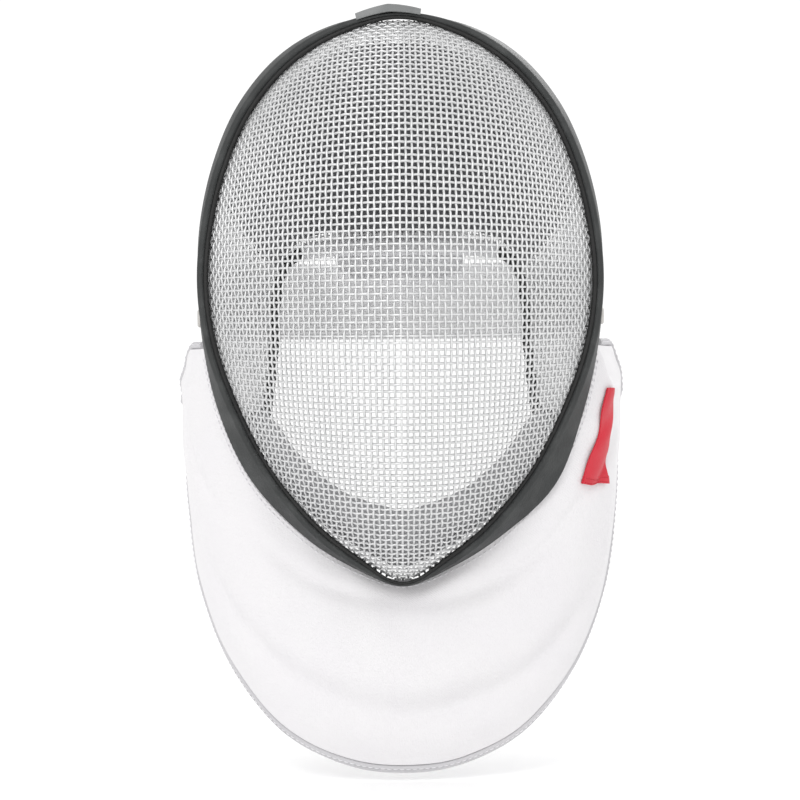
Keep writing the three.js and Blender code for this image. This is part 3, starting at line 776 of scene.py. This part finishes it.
def fold_height(along, down):
    """Sum of soft ridges: height * exp(-across^2) * exp(-along^2), where across is the distance
    from a leaning line; plus two slow ripples, all fading out at the sewn top."""
    total = 0.0
    for a, d, lean, reach, width, height in zip(*FOLDS.values()):
        off_line = (down - d - lean * (along - a)) / width
        total = total + height * np.exp(-off_line**2 - ((along - a) / reach) ** 2)
    total = total + 0.5 * np.sin(2.1 * along + 5 * down) * np.sin(9 * down + 0.7 * along)
    total = total + 0.22 * np.sin(6.3 * along - 11 * down + 1.3)
    return total * np.clip(down / 0.08, 0, 1) * np.clip((1.04 - down) / 0.08, 0.4, 1)


def bib_cloth_point(along, down):
    """The bib with its folds, which push away from the neck."""
    flat = bib_point(along, down)
    away = unit(flat * [1, 1, 0] - [0, NECK_Y, 0])
    return flat + away * fold_height(along, np.asarray(down) + 0 * along)[..., None]


# %% [markdown]
# White cloth still has colour: a faint violet, deeper in soft random patches. The weave is the
# product of two sines of the cloth's own map, in metres, and the nap is a fine noise. Both only
# tilt the surface a little.


# %% A woven cloth
def make_cloth(name, light, shade, pitch, depth, nap=0.0002, size=0.03):
    cloth = Finish(name, Roughness=0.92, Specular_IOR_Level=0.25, Sheen_Weight=0.25)
    along, across = cloth.cloth_place()
    turn = 2 * math.pi / pitch
    threads = (along * turn).sine() * (across * turn).sine()
    patch = cloth.cloud(size, detail=4.0)
    cloth.set("Base Color", cloth.blend(patch, light, shade))
    cloth.relief(0.5 + 0.5 * threads + cloth.cloud(0.0011, detail=2.0) * (nap / depth), depth)
    return cloth


bib_white = make_cloth("bib_white", tone(0.745, 0.735, 0.74), tone(0.71, 0.695, 0.715), 0.0011, 0.00006)
hem_grey = make_cloth("hem_tape", tone(0.58, 0.575, 0.585), tone(0.5, 0.49, 0.51), 0.0012, 0.00012)
white_thread = Finish("white_thread", Base_Color=tone(0.74, 0.73, 0.75), Roughness=0.85)

# %% Bib, its hem and its seams
along = np.linspace(-LAST_WING, LAST_WING, 301)
down = np.linspace(0, 1, 101)
middle = bib_cloth_point(*np.meshgrid(along, down, indexing="ij"))
points, faces, cloth = walled(middle, 2.4)
bib = make_piece("bib_cloth", points, faces, bib_white, ["bib"], cloth)

places = np.linspace(-LAST_WING, LAST_WING, 37)
downs = np.linspace(0, 1, 9)
free = places[(places > WING_LEAVES + 0.01) & (places < LAST_WING - 0.01)]
stops = [(-t, 0, 0, -1) for t in free] + [(-LAST_WING, 0, -1, -1)]
stops += [(-LAST_WING, d, -1, 0) for d in downs[1:-1]] + [(-LAST_WING, 1, -1, 1)]
stops += [(t, 1, 0, 1) for t in places[1:-1]] + [(LAST_WING, 1, 1, 1)]
stops += [(LAST_WING, d, 1, 0) for d in downs[-2:0:-1]] + [(LAST_WING, 0, 1, -1)]
stops += [(t, 0, 0, -1) for t in free[::-1]]
centre, across, through = edge_route(bib_cloth_point, stops, 4)
points, faces, cloth = swept(centre, across, through, rounded_bar(4, 3.4, 6), False)
hem = make_piece("bib_hem_tape", points, faces, hem_grey, ["bib_hem"], cloth)
for number, face in enumerate((1, -1)):
    path = centre - across * 0.2 + through * 1.72 * face
    make_seam(f"hem_seam_{number}", path, through * face, white_thread, "bib_hem")
line = np.linspace(-WING_LEAVES, WING_LEAVES, 201)
for number, level in enumerate((0.018, 0.038)):
    normal = -normal_of(bib_cloth_point, line, level + 0 * line, 0.004)
    outwards = np.sign((normal * (middle[0, 0] * 0 + [0, -1, 0.2])).sum(-1, keepdims=True))
    path = bib_cloth_point(line, level + 0 * line) + normal * outwards * 1.22
    make_seam(f"bib_seam_{number}", path, normal * outwards, white_thread, "bib_cloth")

# %% [markdown]
# A short red ribbon is sewn to the cloth beside the band, with its upper end under the band. It
# is left bare. It narrows where it is pinched, and its free end is turned up and sewn. The pinch is
# a column of half widths in its table, and the ribbon rides on the folded cloth.

# %% Red ribbon label
LABEL_TABLE = extend({
    "along": [4.85, 4.6, 4.33, 4.08, 3.83],
    "down": [0.22, 0.245, 0.27, 0.31, 0.36],
    "half": [3.5, 8, 5.5, 10.5, 13],
})
PER_ROW = 41                     # millimetres of cloth in one row of the hem table
step, share = np.meshgrid(np.linspace(0, 4, 81), np.linspace(-1, 1, 25), indexing="ij")
shift = share * read(LABEL_TABLE, "half", step) / PER_ROW
spot_along = read(LABEL_TABLE, "along", step) + shift
spot_down = read(LABEL_TABLE, "down", step) + 0.45 * shift
normal = normal_of(bib_cloth_point, spot_along, spot_down)
normal = normal * np.sign(normal[..., :1])
lift = 2.5 + 0.5 * np.sin(3.4 * step + 1.8 * share) * np.sin(math.pi * step / 4)
ribbon = bib_cloth_point(spot_along, spot_down) + normal * lift[..., None]
turned_up = 0.9 + 0.7 * (step > 3.72)
points, faces, cloth = walled(ribbon, turned_up, normal)
red_ribbon = make_cloth("red_ribbon", tone(0.62, 0.022, 0.04), tone(0.5, 0.014, 0.03), 0.0009, 0.00009)
label = make_piece("side_ribbon", points, faces, red_ribbon, ["side_label"], cloth)
red_thread = Finish("red_thread", Base_Color=tone(0.42, 0.012, 0.022), Roughness=0.8)
for number, row in enumerate((76, 79)):
    path = ribbon[row] + normal[row] * 0.85
    seam = make_seam(f"ribbon_seam_{number}", path, normal[row], red_thread, "label_ribbon", 1.8, 1.3, 0.2)

# %% [markdown]
# ## Padding
# Inside the crown a dark quilted lining keeps the wire off the head, and a pale roll of foam in
# brushed cloth rests against the chin. Padding is thick in the middle and thin at its seams, so
# each is a wall or a roll whose thickness is a formula: the distance to the nearest seam, rounded
# over. That holds its edges exactly where the frame wants them.


# %% How padding rounds off
def puffed(distance, softness):
    """0 on a seam, rising along a quarter circle to 1 at the given softness."""
    near = np.clip(distance / softness, 0, 1)
    return np.sqrt(1 - (1 - near) ** 2)


# %% Crown lining
LAST_RIB, LINING_REAR = 4.5, 0.98
turn, down = np.meshgrid(np.linspace(-LAST_RIB, LAST_RIB, 181), np.linspace(0, 1, 91), indexing="ij")
front = 0.28 + 0.22 * (turn / LAST_RIB) ** 2
share = front + (LINING_REAR - front) * down
normal = normal_of(hood_point, turn, share)
to_edge = np.minimum(LAST_RIB - np.abs(turn), np.minimum(down, 1 - down) * 6)
seam_gap = np.minimum(np.abs(np.abs(turn) - 1.5), np.abs(down - 0.5) * 6)
thick = 6 * (0.3 + 0.7 * puffed(to_edge, 0.3)) * (0.7 + 0.3 * puffed(seam_gap, 0.35))
middle = hood_point(turn, share) - normal * 5.25
points, faces, cloth = walled(middle, thick, normal)
lining_dark = make_cloth("lining_dark", tone(0.14, 0.142, 0.15), tone(0.11, 0.112, 0.12), 0.002, 0.0002)
lining = make_piece("quilted_lining", points, faces, lining_dark, ["crown_lining"], cloth)

# %% Chin pad
CHIN_TABLE = extend({
    "inset": [13, 15, 19, 22],
    "half_height": [6, 8.5, 12, 15],
    "half_depth": [5, 6, 7, 7],
}, first="straight")
CHIN_START, CHIN_BEHIND = 8.2, 8
side = np.linspace(-1, 1, 193)
station = LAST_BAND - (LAST_BAND - CHIN_START) * np.abs(side)
row = 3 * (1 - np.abs(side))
frame_at = band_frame(np.where(side < 0, -1, 1) * station)
inset, tall, deep = (read(CHIN_TABLE, name, row) for name in ("inset", "half_height", "half_depth"))
centre = frame_at[0] - frame_at[3] * inset[:, None] + [0, CHIN_BEHIND, 0]
ends = (0.2 + 0.8 * puffed(1 - np.abs(side), 0.09)) * (1 + 0.015 * np.sin(40 * side))
turn = np.linspace(0, 2 * math.pi, 33)[:-1]
ring = np.stack([tall[:, None] * np.cos(turn), deep[:, None] * np.sin(turn)], -1)
backward = np.broadcast_to([0.0, 1.0, 0.0], centre.shape)
points, faces, cloth = swept(centre, frame_at[3], backward, ring * ends[:, None, None], False)
pad_white = make_cloth("brushed_padding", tone(0.5, 0.5, 0.51), tone(0.42, 0.42, 0.44), 0.0022, 0.0001, 0.0004)
chin = make_piece("chin_roll", points, faces, pad_white, ["chin_pad"], cloth)

# %% [markdown]
# ## What holds it on the head
# A strip of spring steel, sewn into a white cover, hangs behind the hood and presses the mask
# forward on the head. A broad elastic goes round the back from cheek to cheek and snaps on at both
# sides. Elastic is woven with rubber cords, which show as fine ribs along it.

# %% [markdown]
# The tongue's cover is also wrapped round the bound edge of the hood in a pale sleeve, so that no
# hard edge touches the back of the head.

# %% Tongue
TONGUE_TABLE = extend({
    "y": [86, 91.5, 94.3, 95, 93.5],
    "z": [-42, -60, -78, -96, -113],
    "half": [33, 36, 38, 37, 33],
}, first="straight")
step, share = np.meshgrid(np.linspace(0, 4, 121), np.linspace(-1, 1, 57), indexing="ij")
corner = np.clip((step - 3.55) / 0.45, 0, 1) ** 2 + np.clip((0.3 - step) / 0.3, 0, 1) ** 2
half = read(TONGUE_TABLE, "half", step) * np.sqrt(1 - 0.45 * corner)
deep = read(TONGUE_TABLE, "y", step) + 2.2 - 4.4 * share**2
middle = np.stack([share * half, deep, read(TONGUE_TABLE, "z", step)], -1)
to_edge = np.minimum((1 - np.abs(share)) * 6, np.minimum(step, 4 - step) * 6)
channel = np.abs(np.abs(share) - 0.8) * 9
thick = 3.0 * (0.35 + 0.65 * puffed(to_edge, 0.8)) * (0.7 + 0.3 * puffed(channel, 0.6))
points, faces, cloth = walled(middle, thick)
tongue_white = make_cloth("tongue_cover", tone(0.84, 0.84, 0.85), tone(0.76, 0.76, 0.78), 0.0014, 0.0001)
tongue = make_piece("tongue_cover", points, faces, tongue_white, ["tongue"], cloth)
turn = np.linspace(-3.1, 3.1, 125)
stops = [(t, 1, 0, 1) for t in turn]
centre, across, through = edge_route(hood_point, stops, 7, refine=1)
swell = 0.35 + 0.65 * puffed(3.1 - np.abs(turn), 0.25)
section = rounded_bar(9.4, 6.0, 10) * swell[:, None, None] ** 0.3
points, faces, cloth = swept(centre - across * 0.4, across, through, section, False)
sleeve = make_piece("tongue_sleeve", points, faces, tongue_white, (), cloth)
for number, column in enumerate((5, 51)):
    for face in (1, -1):
        path = middle[:, column] + np.array([0, face * 1.1, 0])
        normal = np.broadcast_to([0.0, float(face), 0.0], path.shape)
        make_seam(f"tongue_seam_{number}_{'back' if face > 0 else 'front'}",
                  path, normal, white_thread, "tongue_cover")

# %% Back strap
STRAP_X = [99.8, 101.8, 100.8, 92.8, 73, 40, 0]
STRAP_Y = [-62, -25, 12, 46, 82, 102, 108]
STRAP_TABLE = extend({
    "x": STRAP_X + [-x for x in STRAP_X[-2::-1]],
    "y": STRAP_Y + STRAP_Y[-2::-1],
}, first="straight")
STRAP_Z, STRAP_THICK, STRAP_TALL = -125.0, 1.6, 42


def strap_frame(place):
    """Centre, up and outward of the strap at places 0 (right end) to 12 (left end)."""
    def at(p):
        return np.stack([read(STRAP_TABLE, "x", p), read(STRAP_TABLE, "y", p), STRAP_Z + 0 * p], -1)

    run = unit(at(place + 0.01) - at(place - 0.01))
    up = np.broadcast_to([0.0, 0.0, 1.0], run.shape)
    return at(place), up, unit(np.cross(run, up))


strap_place = np.linspace(0, 12, 361)
centre, up, outward = strap_frame(strap_place)
points, faces, cloth = swept(centre, up, outward, rounded_bar(STRAP_TALL, STRAP_THICK, 6), False)
elastic = Finish("ribbed_elastic", Roughness=0.85, Specular_IOR_Level=0.3, Sheen_Weight=0.2)
spot = elastic.node("ShaderNodeSeparateXYZ", inputs={0: elastic.place()})
cords = (spot.out("Z") * (2 * math.pi / 0.0018)).sine() * 0.5 + 0.5
run_along, _ = elastic.cloth_place()
picks = (run_along * (2 * math.pi / 0.0012)).sine() * 0.5 + 0.5
# The colour is partly random tone from the cloud and partly painted shade: it follows the cords, darker in the
# grooves between them and lighter on their tops.
shade = elastic.cloud(0.02) * 0.5 + cords * 0.35
elastic.set("Base Color", elastic.blend(shade, tone(0.82, 0.82, 0.83), tone(0.93, 0.93, 0.93)))
elastic.relief(cords + picks * 0.4, 0.00025)
make_piece("elastic_strap", points, faces, elastic, ["back_strap"], cloth)
for number, level in enumerate((-1, 1)):
    path = centre + up * level * (STRAP_TALL / 2 - 2.6) + outward * (STRAP_THICK / 2)
    make_seam(f"strap_seam_{number}", path, outward, white_thread, "elastic", 4.2, 2.6)

# %% [markdown]
# The snaps are pressed from nickel-plated sheet: a rolled rim round a shallow cup. A profile turned
# about the snap's axis makes one, and the same profile serves all four.

# %% Snaps
nickel = make_steel("nickel", tone(0.42, 0.41, 0.39), tone(0.62, 0.6, 0.58))
profile = np.array([[4.1, 0], [4.6, 0.3], [4.6, 1.3], [4.3, 1.85], [3.7, 2.15], [3.1, 2.0],
                    [2.7, 1.55], [2.2, 1.35], [1.6, 1.7], [0.9, 1.85]])
turn = np.linspace(0, 2 * math.pi, 37)[:-1]
for side_name, place in (("right", 0.25), ("left", 11.75)):
    seat, up, axis = (v[0] for v in strap_frame(np.array([place])))
    beside = np.cross(axis, up)
    for level_name, rise in (("upper", 12), ("lower", -12)):
        foot = seat + up * rise + axis * (STRAP_THICK / 2 + GAP)
        rings = foot + axis * profile[:, 1][:, None]
        ring = np.stack([np.cos(turn), np.sin(turn)], -1)[None] * profile[:, :1][:, None]
        full = (len(profile), 3)
        points, faces, _ = swept(rings, np.broadcast_to(up, full), np.broadcast_to(beside, full), ring, False)
        node = f"snap_{side_name}_{level_name}"
        make_piece(f"{node}_cup", points, faces, nickel, [node])

# %% [markdown]
# At the top a small grey tab of the same coated sheet is folded over the band, down its front edge,
# and its two halves meet in a low ridge.

# %% Top tab
TAB_TABLE = extend({
    "rear": [-9.65, -9.4, -8.05, -4, 2, 8],
    "out": [1.0, 2.5, 3.5, 3.65, 3.65, 3.65],
}, first="straight")
share, fold = np.meshgrid(np.linspace(0, 1, 49), np.linspace(0, 5, 41), indexing="ij")
ridge = 1.8 * (1 - np.abs(2 * share - 1))
tab_turn = -0.64 + 0.98 * share
out = read(TAB_TABLE, "out", fold) + ridge / 2
middle = beside_band(tab_turn, read(TAB_TABLE, "rear", fold), out)
points, faces, cloth = walled(middle, 1.5 + ridge * np.clip(fold - 1, 0, 1))
tab_grey = make_coated("grey_sheet", tone(0.17, 0.175, 0.175), tone(0.26, 0.265, 0.265), 0.8)
make_piece("folded_tab", points, faces, tab_grey, ["top_tab"], cloth)

# %% [markdown]
# ## Light, floor and camera
# Product light is plain: a bright even room, one broad lamp high on the left to give the folds and
# the wires a side, and a pale floor just under the hem. The camera stands straight in front at the
# height of the middle of the mask, with a long lens, so that near and far parts keep their size.

# %% Room, lamps and floor
room = bpy.data.worlds.new("bright_room")
room.use_nodes = True
room.node_tree.nodes["Background"].inputs["Color"].default_value = tone(1.0, 1.0, 1.0)
room.node_tree.nodes["Background"].inputs["Strength"].default_value = 1.08
bpy.context.scene.world = room
bpy.context.scene.view_settings.view_transform = "Standard"


def add_lamp(name, place, target, size, power):
    """A square soft lamp that looks from its place at its target."""
    lamp = bpy.data.lights.new(name, "AREA")
    lamp.size, lamp.energy = size, power
    stand = bpy.data.objects.new(name, lamp)
    stand.location = place
    aim = bpy.context.scene.collection.objects
    aim.link(stand)
    stand.rotation_mode = "QUATERNION"
    stand.rotation_quaternion = (stand.location - target).to_track_quat("Z", "Y")


low, high = CAD_BOX
heart = (low + high) / 2
add_lamp("front_lamp", (-0.5, -1.9, 0.75), heart, 0.7, 11)
add_lamp("back_lamp", (0.6, 1.3, 0.8), heart, 0.9, 10)

floor_mesh = bpy.data.meshes.new("floor")
reach, level = 4.0, low[2] - 0.004
floor_mesh.from_pydata([(-reach, -reach, level), (reach, -reach, level), (reach, reach, level),
                        (-reach, reach, level)], [], [(0, 1, 2, 3)])
floor_finish = Finish("pale_floor", Roughness=0.9, Specular_IOR_Level=0.1)
dust = floor_finish.cloud(0.4)
floor_finish.set("Base Color", floor_finish.blend(dust, tone(0.93, 0.93, 0.93), tone(0.95, 0.95, 0.95)))
floor_mesh.materials.append(floor_finish.material)
floor = bpy.data.objects.new("floor", floor_mesh)
bpy.context.scene.collection.objects.link(floor)

# %% Camera
SENSOR, FRAME_TALL, STAND_OFF = 36.0, 0.4, 1.8
camera_data = bpy.data.cameras.new("front_camera")
camera_data.sensor_width = SENSOR
camera_data.lens = SENSOR * STAND_OFF / FRAME_TALL
camera = bpy.data.objects.new("front_camera", camera_data)
camera.location = (-0.0007, -0.09 - STAND_OFF, -0.1795)
camera.rotation_euler = (math.pi / 2, math.radians(0.5), 0)
bpy.context.scene.collection.objects.link(camera)
bpy.context.scene.camera = camera
